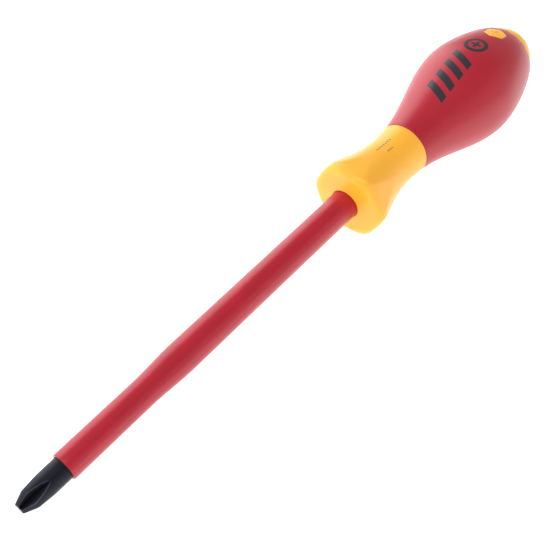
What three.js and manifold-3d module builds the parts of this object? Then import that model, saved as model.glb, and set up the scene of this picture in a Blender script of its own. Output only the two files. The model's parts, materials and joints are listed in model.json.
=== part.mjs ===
// Insulated cross-recess screwdriver with a fixed blade, lying at rest on a flat surface.
//
// Each piece is built in the tool's own frame: x runs along the axis from the blunt end of the tip
// towards the handle, +z is the top of the tool, and one flat of the guard faces down. The whole tool
// is then leaned until its bulb and its tip both touch the surface, as it lies by itself.
import * as THREE from "three";
import { mergeVertices } from "three/addons/utils/BufferGeometryUtils.js";
import Module from "manifold-3d";

const { PI, atan, atan2, cos, max, min, sin, tan } = Math;
const radians = THREE.MathUtils.degToRad;

// ---- Driving dimensions, in millimetres and degrees ----

const CLEARANCE = 0.3; // gap between a piece and the one that it seats in or on
const SIDES = 40; // facets round every turned surface
const PAST = 2; // how far a cutter runs past the face that it cuts through
const FAR = 40; // well outside the tool, for the back of a cutter

// Blade: a round bar with a ground cross tip, and wings pressed out of its tang.
const BLADE_DIAMETER = 8;
const EXPOSED_LENGTH = 152; // from the blunt end to the face of the guard
const TANG_LENGTH = 70; // from the face of the guard to the end of the bar
const TIP_FLAT_DIAMETER = 4;
const TIP_FLANK_ANGLE = 26.5;
const FLUTE_COUNT = 4;
const FLUTE_LENGTH = 11.2;
const FLUTE_ROOT_RADIUS = 1; // from the axis to the root of a flute at the blunt end
const FLUTE_ANGLE = 92; // between the two walls of a flute
const FLUTE_TURN = 32; // from the top of the tool to the first flute
const WING_SPAN = 13;
const WING_THICKNESS = 2.4;
const WING_LENGTH = 10;
const WING_SETBACK = 6; // from the end of the bar to the wings

// Sleeve: the insulation on the blade, thinner near the tip.
const BARE_LENGTH = 16.8; // bare metal ahead of the sleeve
const NOSE_WALL = 0.5;
const NOSE_LENGTH = 31.6;
const NOSE_CHAMFER = 0.3;
const FLARE_LENGTH = 18.2;
const SLEEVE_WALL = 1.25;
const SLEEVE_ENTRY = 26; // how far the sleeve runs into the handle

// Guard and neck: a flange with arched flats, which runs out on a waisted neck.
const GUARD_SIDES = 6;
const GUARD_CORNER_DIAMETER = 31.2;
const GUARD_ACROSS_FLATS = 28.8;
const GUARD_EDGE = 4.6; // height of the rounded front edge
const GUARD_FACE_CROWN = 0.6; // how far the front face swells at the sleeve
const GUARD_RIM = 2.6; // from the front face to the widest ring
const GUARD_FLARE_ANGLE = 17.5; // slope of the neck just behind the widest ring
const FLAT_DRAFT = 4; // slope of a flat ahead of the widest ring
const FLAT_REACH = 10.5; // from the widest ring to the top of a flat's arch
const WAIST_PLACE = 28.6; // from the front face to the waist
const NECK_WALL = 2.45; // at the waist
const NECK_END = 7.5; // from the waist to the border with the grip

// Grip: the bulb, its rear mouth and its window.
const SWELL_LENGTH = 50.7; // from the waist to the widest ring
const BULB_DIAMETER = 41;
const FALL_LENGTH = 25.5; // from the widest ring to the mouth
const WALL = 4.4; // thickness of the grip over the core
const MOUTH_LIP = 0.5; // flat ring round the cap
const MOUTH_ROUND = 0.9;
const MOUTH_SLOPE = 29.5; // of the bulb where it meets the rounded edge of the mouth
const WINDOW_ACROSS_CORNERS = 9.6;
const WINDOW_MARGIN = 2.7; // from the window to the mouth
const MARK_SPAN = 4.4; // the cross on the inlay
const MARK_ARM = 1.3;
const MARK_DEPTH = 0.4;

// Cap: a dome on a plug, with a stem into the core.
const CAP_DIAMETER = 24.8;
const CAP_RISE = 13.3;
const CAP_FULLNESS = 2.4; // 2 is an elliptical dome
const CAP_FLAT_DIAMETER = 5;
const CAP_PLUG_LENGTH = 6;
const CAP_STEM_DIAMETER = 8;
const CAP_STEM_LENGTH = 9;

// Core: the hard moulding that grips the tang, keyed so that it can't turn in the grip.
const CORE_START = 8; // from the front face of the guard
const CORE_NECK_WALL = 1.45; // over the sleeve
const KEY_COUNT = 4;
const KEY_TURN = 45; // from the top of the tool to the first key
const KEY_WIDTH = 3.2;
const KEY_HEIGHT = 1.4;
const KEY_MARGIN = 16; // from the border, and from the mouth, to the ends of the keys

// ---- Stations along the axis, and radii ----

const guardX = EXPOSED_LENGTH;
const rimX = guardX + GUARD_RIM;
const flatTopX = rimX + FLAT_REACH;
const waistX = guardX + WAIST_PLACE;
const borderX = waistX + NECK_END;
const bulbX = waistX + SWELL_LENGTH;
const mouthX = bulbX + FALL_LENGTH;
const windowX = mouthX - WINDOW_MARGIN - WINDOW_ACROSS_CORNERS / 2;
const capEndX = mouthX + CAP_RISE;
const plugX = mouthX - CAP_PLUG_LENGTH;
const coreStartX = guardX + CORE_START;
const coreEndX = plugX - CLEARANCE;
const sleeveEndX = guardX + SLEEVE_ENTRY;
const bladeEndX = guardX + TANG_LENGTH;

const bladeRadius = BLADE_DIAMETER / 2;
const noseRadius = bladeRadius + CLEARANCE + NOSE_WALL;
const sleeveRadius = bladeRadius + CLEARANCE + SLEEVE_WALL;
const coreNeckRadius = sleeveRadius + CLEARANCE + CORE_NECK_WALL;
const waistRadius = coreNeckRadius + CLEARANCE + NECK_WALL;
const rimRadius = GUARD_CORNER_DIAMETER / 2;
const flatHeight = GUARD_ACROSS_FLATS / 2;
const bulbRadius = BULB_DIAMETER / 2;
const capRadius = CAP_DIAMETER / 2;
const mouthRadius = capRadius + CLEARANCE + MOUTH_LIP + MOUTH_ROUND;

// ---- Solids ----

const wasm = await Module();
wasm.setup();

// A closed geometry as a solid that can be joined and cut.
function solidOf(geometry) {
  const bare = geometry.index ? geometry.toNonIndexed() : geometry.clone();
  bare.deleteAttribute("normal");
  bare.deleteAttribute("uv");
  const merged = mergeVertices(bare, 1e-4);
  const vertProperties = merged.attributes.position.array;
  const triVerts = new Uint32Array(merged.index.array);
  return new wasm.Manifold(new wasm.Mesh({ numProp: 3, vertProperties, triVerts }));
}

function meshOf(name, solid, material) {
  const { vertProperties, triVerts } = solid.getMesh();
  const geometry = new THREE.BufferGeometry();
  geometry.setAttribute("position", new THREE.BufferAttribute(new Float32Array(vertProperties), 3));
  geometry.setIndex(new THREE.BufferAttribute(new Uint32Array(triVerts), 1));
  geometry.computeVertexNormals();
  const mesh = new THREE.Mesh(geometry, material);
  mesh.name = name;
  return mesh;
}

// A point of an outline: its place along the axis, and its radius or height.
const at = (x, radius) => new THREE.Vector2(x, radius);

// The outline's points go from the axis, round the outside, and back to the axis. The stated radius is
// that of the middle of each facet, and the middle of one facet faces straight down.
function turned(outline) {
  const facetEdge = 1 / cos(PI / SIDES);
  const points = outline.map((p) => new THREE.Vector2(p.y * facetEdge, p.x));
  const lathe = new THREE.LatheGeometry(points, SIDES, PI / SIDES);
  return solidOf(lathe.rotateZ(-PI / 2));
}

const cylinder = (x0, x1, radius) => turned([at(x0, 0), at(x0, radius), at(x1, radius), at(x1, 0)]);

// A flat outline drawn along the axis and upwards, with a width across the tool.
function slab(outline, width) {
  const shape = new THREE.Shape(outline);
  const geometry = new THREE.ExtrudeGeometry(shape, { depth: width, bevelEnabled: false });
  return solidOf(geometry.translate(0, 0, -width / 2).rotateX(PI / 2));
}

const box = (x0, x1, z0, z1, width) => slab([at(x0, z0), at(x1, z0), at(x1, z1), at(x0, z1)], width);

// Copies of a solid spaced evenly round the axis, the first turned away from the top by some degrees.
function around(count, turn, solid) {
  const copies = Array.from({ length: count }, (_, i) => solid.rotate([turn + (i * 360) / count, 0, 0]));
  return copies.reduce((all, copy) => all.add(copy));
}

// ---- Curves of the handle ----

// The swell from the waist to the widest ring of the bulb.
const swell = new THREE.CubicBezierCurve(
  at(waistX, waistRadius),
  at(waistX + 0.41 * SWELL_LENGTH, waistRadius),
  at(bulbX - 0.3 * SWELL_LENGTH, bulbRadius),
  at(bulbX, bulbRadius),
);

// The fall from there to the mouth.
const mouthPull = 0.2 * FALL_LENGTH;
const fall = new THREE.CubicBezierCurve(
  at(bulbX, bulbRadius),
  at(bulbX + 0.3 * FALL_LENGTH, bulbRadius),
  at(mouthX - mouthPull, mouthRadius + mouthPull * tan(radians(MOUTH_SLOPE))),
  at(mouthX, mouthRadius),
);

// The share of a curve at which it passes a place along the axis.
function shareAt(curve, x) {
  let [low, high] = [0, 1];
  for (let step = 0; step < 40; step += 1) {
    const middle = (low + high) / 2;
    if (curve.getPoint(middle).x < x) low = middle;
    else high = middle;
  }
  return low;
}

const radiusAt = (curve, x) => curve.getPoint(shareAt(curve, x)).y;

// Points of a curve between two places along the axis, both included.
function stretch(curve, x0, x1, steps) {
  const [from, to] = [shareAt(curve, x0), shareAt(curve, x1)];
  return Array.from({ length: steps + 1 }, (_, i) => curve.getPoint(from + ((to - from) * i) / steps));
}

// An outline made wider and longer all round, for the hollow that it seats in.
function grown(outline, gap) {
  const last = outline.length - 1;
  const shift = (i) => (i < 2 ? -gap : 0) + (i > last - 2 ? gap : 0);
  return outline.map((p, i) => at(p.x + shift(i), p.y === 0 ? 0 : p.y + gap));
}

// ---- Blade ----

const tipRadius = TIP_FLAT_DIAMETER / 2;
const flankX = (bladeRadius - tipRadius) / tan(radians(TIP_FLANK_ANGLE));
const bladeOutline = [
  at(0, 0),
  at(0, tipRadius),
  at(flankX, bladeRadius),
  at(bladeEndX, bladeRadius),
  at(bladeEndX, 0),
];

function wings(gap) {
  const halfThickness = WING_THICKNESS / 2 + gap;
  const x1 = bladeEndX - WING_SETBACK;
  return box(x1 - WING_LENGTH - gap, x1 + gap, -halfThickness, halfThickness, WING_SPAN + 2 * gap);
}

// A flute is a V whose root climbs from near the axis, at the blunt end, to the surface of the bar.
function flute() {
  const climb = atan((bladeRadius - FLUTE_ROOT_RADIUS) / FLUTE_LENGTH);
  const height = BLADE_DIAMETER;
  const halfWidth = height * tan(radians(FLUTE_ANGLE / 2));
  const section = new THREE.Shape([at(0, 0), at(halfWidth, height), at(-halfWidth, height)]);
  const depth = 2 * PAST + FLUTE_LENGTH / cos(climb);
  const wedge = new THREE.ExtrudeGeometry(section, { depth, bevelEnabled: false });
  const along = new THREE.Vector3(cos(climb), 0, sin(climb));
  const outward = new THREE.Vector3(-sin(climb), 0, cos(climb));
  const place = new THREE.Matrix4().makeBasis(new THREE.Vector3(0, 1, 0), outward, along);
  place.setPosition(new THREE.Vector3(0, 0, FLUTE_ROOT_RADIUS).addScaledVector(along, -PAST));
  return solidOf(wedge.applyMatrix4(place));
}

const blade = turned(bladeOutline).add(wings(0)).subtract(around(FLUTE_COUNT, FLUTE_TURN, flute()));

// ---- Sleeve ----

const flareX = BARE_LENGTH + NOSE_LENGTH;
const fullX = flareX + FLARE_LENGTH;
const flare = new THREE.CubicBezierCurve(
  at(flareX, noseRadius),
  at(flareX + FLARE_LENGTH / 3, noseRadius),
  at(fullX - FLARE_LENGTH / 3, sleeveRadius),
  at(fullX, sleeveRadius),
);
const sleeveOutline = [
  at(BARE_LENGTH, 0),
  at(BARE_LENGTH, noseRadius - NOSE_CHAMFER),
  at(BARE_LENGTH + NOSE_CHAMFER, noseRadius),
  ...flare.getPoints(6),
  at(sleeveEndX, sleeveRadius),
  at(sleeveEndX, 0),
];

const sleeveBore = cylinder(BARE_LENGTH - PAST, sleeveEndX + PAST, bladeRadius + CLEARANCE);
const bladeSleeve = turned(sleeveOutline).subtract(sleeveBore);

// ---- Guard and neck ----

// The run from the widest ring of the flange down to the waist.
const runPull = (waistX - rimX) / 3;
const run = new THREE.CubicBezierCurve(
  at(rimX, rimRadius),
  at(rimX + runPull, rimRadius - runPull * tan(radians(GUARD_FLARE_ANGLE))),
  at(waistX - 1.2 * runPull, waistRadius),
  at(waistX, waistRadius),
);

// The flange as if it were round: a front face, a rounded edge, and the run.
function collarOutline() {
  const edge = [0, 18, 36, 54, 72, 90].map((turn) => {
    const rise = GUARD_EDGE * sin(radians(turn));
    return at(rimX - GUARD_RIM * cos(radians(turn)), rimRadius - GUARD_EDGE + rise);
  });
  return [
    at(guardX - GUARD_FACE_CROWN, 0),
    at(guardX - GUARD_FACE_CROWN, sleeveRadius + CLEARANCE),
    ...edge,
    ...run.getPoints(9).slice(1),
    ...stretch(swell, waistX, borderX, 2).slice(1),
    at(borderX, 0),
  ];
}

// What a flat takes off the flange. Behind the widest ring it slopes down to the top of its arch, where
// it meets the run.
function flatCut() {
  const front = flatHeight - (GUARD_RIM + PAST) * tan(radians(FLAT_DRAFT));
  const outline = [
    at(guardX - PAST, front),
    at(rimX, flatHeight),
    at(flatTopX, radiusAt(run, flatTopX)),
    at(flatTopX, FAR),
    at(guardX - PAST, FAR),
  ];
  return slab(outline, FAR);
}

const guardCollar = turned(collarOutline())
  .subtract(around(GUARD_SIDES, 0, flatCut()))
  .subtract(cylinder(guardX - PAST, coreStartX, sleeveRadius + CLEARANCE))
  .subtract(cylinder(coreStartX - CLEARANCE, borderX + PAST, coreNeckRadius + CLEARANCE));

// ---- Core ----

const gripStartX = borderX + CLEARANCE;
const bulbOutline = [
  ...stretch(swell, gripStartX, bulbX, 9),
  ...stretch(fall, bulbX, mouthX - MOUTH_ROUND, 9).slice(1),
];

// The core stays slim through the neck and then follows the bulb, one wall thickness inside it.
function coreOutline() {
  const behindWall = (p) => at(p.x, max(coreNeckRadius, p.y - WALL));
  const followed = bulbOutline.filter((p) => p.x < coreEndX - PAST).map(behindWall);
  const end = behindWall(at(coreEndX, radiusAt(fall, coreEndX)));
  return [at(coreStartX, 0), at(coreStartX, coreNeckRadius), ...followed, end, at(coreEndX, 0)];
}

// Ribs along the core, between its surface and a skin one key height outside it.
function keys(gap) {
  const bars = box(gripStartX + KEY_MARGIN - gap, mouthX - KEY_MARGIN + gap, 0, FAR, KEY_WIDTH + 2 * gap);
  return around(KEY_COUNT, KEY_TURN, bars).intersect(turned(grown(coreOutline(), KEY_HEIGHT + gap)));
}

const stemX = plugX - CAP_STEM_LENGTH;
const stemHole = cylinder(stemX - CLEARANCE, coreEndX + PAST, CAP_STEM_DIAMETER / 2 + CLEARANCE);

const handleCore = turned(coreOutline())
  .add(keys(0))
  .subtract(cylinder(coreStartX - PAST, sleeveEndX + CLEARANCE, sleeveRadius + CLEARANCE))
  .subtract(cylinder(coreStartX - PAST, bladeEndX + CLEARANCE, bladeRadius + CLEARANCE))
  .subtract(wings(CLEARANCE))
  .subtract(stemHole);

// ---- Grip ----

// The bulb's outside, with the edge of its mouth rounded over.
function gripOutline() {
  const edgeX = mouthX - MOUTH_ROUND;
  const edgeRadius = radiusAt(fall, edgeX);
  const edge = [30, 60, 90].map((turn) => {
    const inward = MOUTH_ROUND * (1 - cos(radians(turn)));
    return at(edgeX + MOUTH_ROUND * sin(radians(turn)), edgeRadius - inward);
  });
  return [at(gripStartX, 0), ...bulbOutline, ...edge, at(mouthX, 0)];
}

// A flat shape extruded between two heights over the bulb's surface, square to it at the window.
function onWindow(shape, low, high) {
  const share = shareAt(fall, windowX);
  const slope = fall.getTangent(share);
  const geometry = new THREE.ExtrudeGeometry(shape, { depth: high - low, bevelEnabled: false });
  geometry.translate(0, 0, low).rotateY(atan2(-slope.y, slope.x));
  return solidOf(geometry.translate(windowX, 0, fall.getPoint(share).y));
}

// The hexagon has a corner towards the tip and one towards the cap.
function windowPrism(gap) {
  const circumradius = WINDOW_ACROSS_CORNERS / 2 + gap / cos(PI / 6);
  const corners = Array.from({ length: 6 }, (_, i) => {
    const turn = (i * PI) / 3;
    return at(circumradius * cos(turn), circumradius * sin(turn));
  });
  return onWindow(new THREE.Shape(corners), -2 * WALL, PAST);
}

function crossMark() {
  const [reach, half] = [MARK_SPAN / 2, MARK_ARM / 2];
  const arm = (x, y) => new THREE.Shape([at(-x, -y), at(x, -y), at(x, y), at(-x, y)]);
  return onWindow(arm(reach, half), -MARK_DEPTH, PAST).add(onWindow(arm(half, reach), -MARK_DEPTH, PAST));
}

const bulb = turned(gripOutline());
const coreSpace = turned(grown(coreOutline(), CLEARANCE)).add(keys(CLEARANCE));
const plugSpace = cylinder(coreEndX - CLEARANCE, mouthX + PAST, capRadius + CLEARANCE);
const hollow = coreSpace.add(plugSpace);
const gripShell = bulb.subtract(hollow).subtract(windowPrism(CLEARANCE));
const symbolInlay = bulb.intersect(windowPrism(0)).subtract(hollow).subtract(crossMark());

// ---- Cap ----

function capOutline() {
  const flatRadius = CAP_FLAT_DIAMETER / 2;
  const dome = Array.from({ length: 9 }, (_, i) => {
    const share = i / 8;
    const spread = 1 - share ** CAP_FULLNESS;
    return at(mouthX + CAP_RISE * share, flatRadius + (capRadius - flatRadius) * spread);
  });
  return [
    at(stemX, 0),
    at(stemX, CAP_STEM_DIAMETER / 2),
    at(plugX, CAP_STEM_DIAMETER / 2),
    at(plugX, capRadius),
    ...dome,
    at(capEndX, 0),
  ];
}

const endCap = turned(capOutline());

// ---- Assembly ----

const yellow = new THREE.MeshStandardMaterial({ color: "#fcb62f", roughness: 0.42, metalness: 0 });
const steel = new THREE.MeshStandardMaterial({ color: "#32323a", roughness: 0.38, metalness: 0.85 });
const sleeveRed = new THREE.MeshStandardMaterial({ color: "#b32635", roughness: 0.45, metalness: 0 });
const gripRed = new THREE.MeshStandardMaterial({ color: "#ad2030", roughness: 0.5, metalness: 0 });
const coreGrey = new THREE.MeshStandardMaterial({ color: "#8a8d90", roughness: 0.6, metalness: 0 });

const tool = new THREE.Group();
tool.add(
  meshOf("blade", blade, steel),
  meshOf("blade_sleeve", bladeSleeve, sleeveRed),
  meshOf("guard_collar", guardCollar, yellow),
  meshOf("handle_core", handleCore, coreGrey),
  meshOf("grip_shell", gripShell, gripRed),
  meshOf("symbol_inlay", symbolInlay, yellow),
  meshOf("end_cap", endCap, yellow),
);

// The tool lies on its bulb and on the first point ahead of it to come down: the slope between them.
function leanAngle() {
  const flat = at(rimX, flatHeight);
  const ahead = [...bladeOutline.slice(0, 3), ...sleeveOutline.slice(0, -2), flat];
  const slopes = ahead.map((p) => max(...bulbOutline.map((q) => (q.y - p.y) / (q.x - p.x))));
  return atan(min(...slopes));
}

tool.rotation.y = -leanAngle();

// The origin is the middle of the bottom of the whole tool's box.
const driver = new THREE.Group();
driver.add(tool);
driver.updateMatrixWorld(true);
const extent = new THREE.Box3().setFromObject(driver, true);
const middle = extent.getCenter(new THREE.Vector3());
tool.position.set(-middle.x, -middle.y, -extent.min.z);

export default driver;
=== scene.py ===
"""An insulated cross-recess screwdriver, modelled in detail round its CAD frame.

Lengths are in metres and angles in radians. Each piece is built in the tool's own frame, where x runs
along the axis from the blunt end of the tip and +z is the top of the tool, and is then laid down where
the CAD tool lies. An angle round the tool starts at the top and grows towards -y.
"""

import json
from math import asin, atan2, cos, hypot, pi, radians, sin, sqrt, tan

import bmesh
import bpy
from bpy.props import FloatProperty, FloatVectorProperty, IntProperty, PointerProperty
from mathutils import Matrix, Vector


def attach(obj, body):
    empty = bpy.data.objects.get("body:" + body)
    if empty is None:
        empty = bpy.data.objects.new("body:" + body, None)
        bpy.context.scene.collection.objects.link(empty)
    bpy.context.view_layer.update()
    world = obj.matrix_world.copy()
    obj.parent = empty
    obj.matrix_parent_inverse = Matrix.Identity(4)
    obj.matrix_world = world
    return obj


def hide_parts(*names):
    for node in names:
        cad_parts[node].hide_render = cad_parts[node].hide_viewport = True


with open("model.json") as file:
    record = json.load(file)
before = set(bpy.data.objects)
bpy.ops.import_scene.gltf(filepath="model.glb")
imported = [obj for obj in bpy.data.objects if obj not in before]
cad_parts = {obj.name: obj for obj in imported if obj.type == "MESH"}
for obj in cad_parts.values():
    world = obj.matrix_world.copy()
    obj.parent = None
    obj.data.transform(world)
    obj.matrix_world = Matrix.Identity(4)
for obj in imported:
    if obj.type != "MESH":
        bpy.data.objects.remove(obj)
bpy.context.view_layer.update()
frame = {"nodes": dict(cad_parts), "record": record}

bl_info = {
    "name": "Insulated Screwdriver",
    "version": (1, 0, 0),
    "blender": (4, 5, 0),
    "location": "3D View > Sidebar > Screwdriver",
    "description": "Builds a cross-recess screwdriver with an insulated blade and a two-colour handle",
    "category": "Add Mesh",
}

# ---- What the CAD frame says ----

MM = 0.001
CAD_FACETS = 40  # facets round every turned CAD surface, whose middles lie at the stated radius

MOUNTS = {mount["name"]: mount for mount in frame["record"]["mounts"]}
TIP_END = Vector(MOUNTS["tip_end"]["pos_m"])
AXIS = -Vector(MOUNTS["tip_end"]["axis"])
LEAN = atan2(AXIS.z, AXIS.x)
LAY_DOWN = Matrix.Translation(TIP_END) @ Matrix.Rotation(-LEAN, 4, "Y")


def measured(node):
    """Where a CAD node starts and ends along the axis, and the radius of its widest ring."""
    into_tool = LAY_DOWN.inverted()
    places = [into_tool @ vertex.co for vertex in frame["nodes"][node].data.vertices]
    widest = max(hypot(place.y, place.z) for place in places)
    along = [place.x for place in places]
    return min(along), max(along), widest * cos(pi / CAD_FACETS)


BAR_END = measured("blade")[1]
SLEEVE_START, SLEEVE_END, SLEEVE_RADIUS = measured("blade_sleeve")
GUARD_START, BORDER, RIM_RADIUS = measured("guard_collar")
GRIP_START, MOUTH, BULB_RADIUS = measured("grip_shell")
BULB_RADIUS -= 0.07 * MM  # a smooth bulb would stand out between the rings of the CAD one
STEM_START, CAP_END, CAP_RADIUS = measured("end_cap")

CLEARANCE = GRIP_START - BORDER  # between fitted pieces
JOIN_GAP = 0.06 * MM  # what still shows of a clearance where one piece is moulded onto another
ROUND_COLUMNS = 192  # columns round a turned surface


def linear(code):
    """An sRGB hex colour as linear red, green and blue."""
    shares = [int(code[i : i + 2], 16) / 255 for i in (1, 3, 5)]
    return tuple(s / 12.92 if s <= 0.04045 else ((s + 0.055) / 1.055) ** 2.4 for s in shares)


# ---- Sizes and colours that a user would change ----


def length(name, description, default):
    return FloatProperty(name=name, description=description, default=default, unit="LENGTH", precision=5)


def turn(name, description, degrees):
    return FloatProperty(name=name, description=description, default=radians(degrees), subtype="ANGLE")


def colour(name, description, code):
    return FloatVectorProperty(
        name=name, description=description, default=linear(code), subtype="COLOR", size=3, min=0, max=1
    )


def brightness(name, source, default):
    return FloatProperty(name=name, description=f"Brightness of {source}", default=default, min=0)


class BladeSizes(bpy.types.PropertyGroup):
    """Sizes of the bar and of its ground cross tip."""

    diameter: length("Bar diameter", "Diameter of the round bar", 8 * MM)
    end_diameter: length("Blunt end", "Diameter of the blunt end of the tip", 4 * MM)
    flank_angle: turn("Flank angle", "Slope of the tip's flanks against the axis", 26.5)
    flutes: IntProperty(name="Flutes", description="Number of flutes", default=4, min=3, max=6)
    flute_length: length("Flute length", "From the blunt end to where a flute runs out", 11.2 * MM)
    flute_root: length("Flute root", "From the axis to the root of a flute at the blunt end", 1 * MM)
    flute_angle: turn("Flute angle", "Angle between the two walls of a flute", 92)
    flute_turn: turn("Flute turn", "From the top of the tool to the first flute", 32)
    wing_span: length("Wing span", "Across the wings pressed out of the tang", 13 * MM)
    wing_thickness: length("Wing thickness", "Thickness of the wings", 2.4 * MM)
    wing_length: length("Wing length", "Length of the wings along the tang", 10 * MM)
    wing_setback: length("Wing setback", "From the end of the bar to the wings", 6 * MM)


class SleeveSizes(bpy.types.PropertyGroup):
    """Sizes of the insulating sleeve."""

    nose_diameter: length("Nose diameter", "Outer diameter near the tip", 9.6 * MM)
    nose_length: length("Nose length", "Length of the thinner nose", 31.6 * MM)
    flare_length: length("Flare length", "Length over which the nose grows to full diameter", 18.2 * MM)
    edge_round: length("Edge rounding", "Rounding of the front edge", 0.35 * MM)


class HandleSizes(bpy.types.PropertyGroup):
    """Sizes of the guard, the neck, the bulb, its window and the cap."""

    guard_sides: IntProperty(name="Guard sides", description="Number of flats", default=6, min=3, max=12)
    across_flats: length("Across flats", "Guard, across two opposite flats", 28.8 * MM)
    guard_edge: length("Guard edge", "Height of the rounded front edge", 4.6 * MM)
    face_crown: length("Face crown", "How far the front face swells at the sleeve", 0.6 * MM)
    rim_place: length("Widest ring", "From the front face to the guard's widest ring", 2.6 * MM)
    flare_angle: turn("Flare angle", "Slope of the neck just behind the widest ring", 17.5)
    flat_draft: turn("Flat draft", "Slope of a flat ahead of the widest ring", 4)
    flat_reach: length("Flat reach", "From the widest ring to the top of a flat's arch", 10.5 * MM)
    flat_softness: length("Flat softness", "How far a flat's edges are rounded behind the rim", 0.3 * MM)
    front_softness: length("Front softness", "How far they are rounded at the front edge", 2.8 * MM)
    waist_diameter: length("Waist diameter", "Diameter at the waist", 20.1 * MM)
    waist_to_border: length("Waist to border", "From the waist to where the grip starts", 7.5 * MM)
    core_diameter: length("Neck bore", "Bore of the neck over the core", 15.2 * MM)
    swell_length: length("Swell length", "From the waist to the widest ring of the bulb", 50.7 * MM)
    wall: length("Grip wall", "Thickness of the grip over the core", 4.1 * MM)
    mouth_lip: length("Mouth lip", "Flat ring round the cap", 0.5 * MM)
    mouth_round: length("Mouth rounding", "Rounding of the edge of the mouth", 0.9 * MM)
    mouth_slope: turn("Mouth slope", "Slope of the bulb where the rounded edge starts", 29.5)
    window_across: length("Window", "Hexagonal window, across corners", 9.6 * MM)
    window_margin: length("Window margin", "From the window to the mouth", 2.7 * MM)
    mark_span: length("Mark span", "Span of the cross on the inlay", 4.4 * MM)
    mark_arm: length("Mark arm", "Width of the cross's arms", 1.3 * MM)
    mark_depth: length("Mark depth", "Depth of the cross", 0.3 * MM)
    plug_length: length("Plug length", "How far the cap's plug runs into the mouth", 6 * MM)
    stem_diameter: length("Stem diameter", "Diameter of the cap's stem", 8 * MM)


class Finishes(bpy.types.PropertyGroup):
    """Colours of the materials."""

    steel: colour("Steel", "Blackened steel of the bar", "#25252d")
    worn_steel: colour("Worn steel", "Steel along the worn edges of the tip", "#6c6d76")
    sleeve: colour("Sleeve", "Red insulation on the bar", "#ac0c26")
    grip: colour("Grip", "Soft red moulding of the bulb", "#aa0a24")
    ink: colour("Ink", "Printing on the bulb", "#26242b")
    yellow: colour("Yellow", "Yellow moulding of the neck, the inlay and the cap", "#fdb32c")
    faint_ink: colour("Faint ink", "Small printing on the neck", "#8d7a52")
    core: colour("Core", "Hard moulding inside the handle", "#8a8d90")


class StudioSettings(bpy.types.PropertyGroup):
    """Where the camera and the lights stand."""

    azimuth: turn("Azimuth", "Direction of the camera round the tool", -49.26)
    elevation: turn("Elevation", "Height of the camera above the horizon", 47.2)
    roll: turn("Roll", "How far the camera is rolled", -0.46)
    distance: length("Distance", "From the camera to the point that it aims at", 306 * MM)
    aim_place: length("Aim", "Place along the tool's axis that the camera aims beside", 110.9 * MM)
    aim_aside: length("Aim aside", "How far beside the axis the camera aims", 1.43 * MM)
    lens: FloatProperty(name="Lens", description="Focal length in mm", default=58.8, unit="CAMERA")
    surround: brightness("Surround", "the white room", 0.45)
    key_panel: brightness("Key panel", "the high panel", 4.5)
    rear_panel: brightness("Rear panel", "the rear panel", 2.4)
    front_panel: brightness("Front panel", "the front panel", 0.45)
    table_glow: brightness("Table glow", "the light let through the table", 0.9)


class ScrewdriverSettings(bpy.types.PropertyGroup):
    """All settings of the screwdriver."""

    blade: PointerProperty(type=BladeSizes)
    sleeve: PointerProperty(type=SleeveSizes)
    handle: PointerProperty(type=HandleSizes)
    finishes: PointerProperty(type=Finishes)
    studio: PointerProperty(type=StudioSettings)


# ---- Lines and rings ----


def cubic(control, share):
    """The point of a cubic curve at a share of its run."""
    start, pull_out, pull_in, end = control
    rest = 1 - share
    bend = pull_out * (3 * rest**2 * share) + pull_in * (3 * rest * share**2)
    return start * rest**3 + bend + end * share**3


def radius_at(control, x):
    """The radius of a curve that runs forwards, where it passes a place along the axis."""
    low, high = 0.0, 1.0
    for _ in range(40):
        middle = (low + high) / 2
        if cubic(control, middle).x < x:
            low = middle
        else:
            high = middle
    return cubic(control, low).y


def line(control, steps):
    """Points along a whole cubic curve."""
    return [tuple(cubic(control, i / steps)) for i in range(steps + 1)]


def arc(x, radius, reach, rise, start, end, steps):
    """Points of an elliptical arc round a centre, between two angles in degrees."""
    turns = [radians(start + (end - start) * i / steps) for i in range(steps + 1)]
    return [(x + reach * cos(t), radius + rise * sin(t)) for t in turns]


def on_ring(x, radius, angle):
    return Vector((x, -radius * sin(angle), radius * cos(angle)))


def turned(outline, columns=ROUND_COLUMNS):
    """One ring of points for each point of an outline, and a single point where it meets the axis."""
    angles = [2 * pi * i / columns for i in range(columns)]
    return [[on_ring(x, r, a) for a in (angles if r > 0 else angles[:1])] for x, r in outline]


def bridge(mesh, near, far, keep=lambda i: True):
    """Joins two rings of vertices with quads, or a ring and a single vertex with triangles."""
    for i in range(max(len(near), len(far))):
        corners = [ring[k % len(ring)] for ring, k in ((near, i), (near, i + 1), (far, i + 1), (far, i))]
        if keep(i):
            mesh.faces.new(dict.fromkeys(corners))


def loft(rings, closed=False):
    """A skin over rings of points. A closed one also joins the last ring to the first."""
    mesh = bmesh.new()
    rows = [[mesh.verts.new(place) for place in ring] for ring in rings]
    for near, far in zip(rows, rows[1:] + rows[:1] if closed else rows[1:]):
        bridge(mesh, near, far)
    return mesh


def smooth_lower(a, b, softness):
    """The lower of two values, rounded over where they are close."""
    blend = max(softness - abs(a - b), 0) / softness
    return min(a, b) - blend**3 * softness / 6


# ---- Finished pieces ----


def mesh_data(mesh, name, laid=True):
    """A bmesh as mesh data whose faces point outwards, laid down where the CAD tool lies."""
    if mesh.calc_volume(signed=True) < 0:
        bmesh.ops.reverse_faces(mesh, faces=mesh.faces)
    if laid:
        mesh.transform(LAY_DOWN)
    data = bpy.data.meshes.new(name)
    mesh.to_mesh(data)
    mesh.free()
    return data


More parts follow.
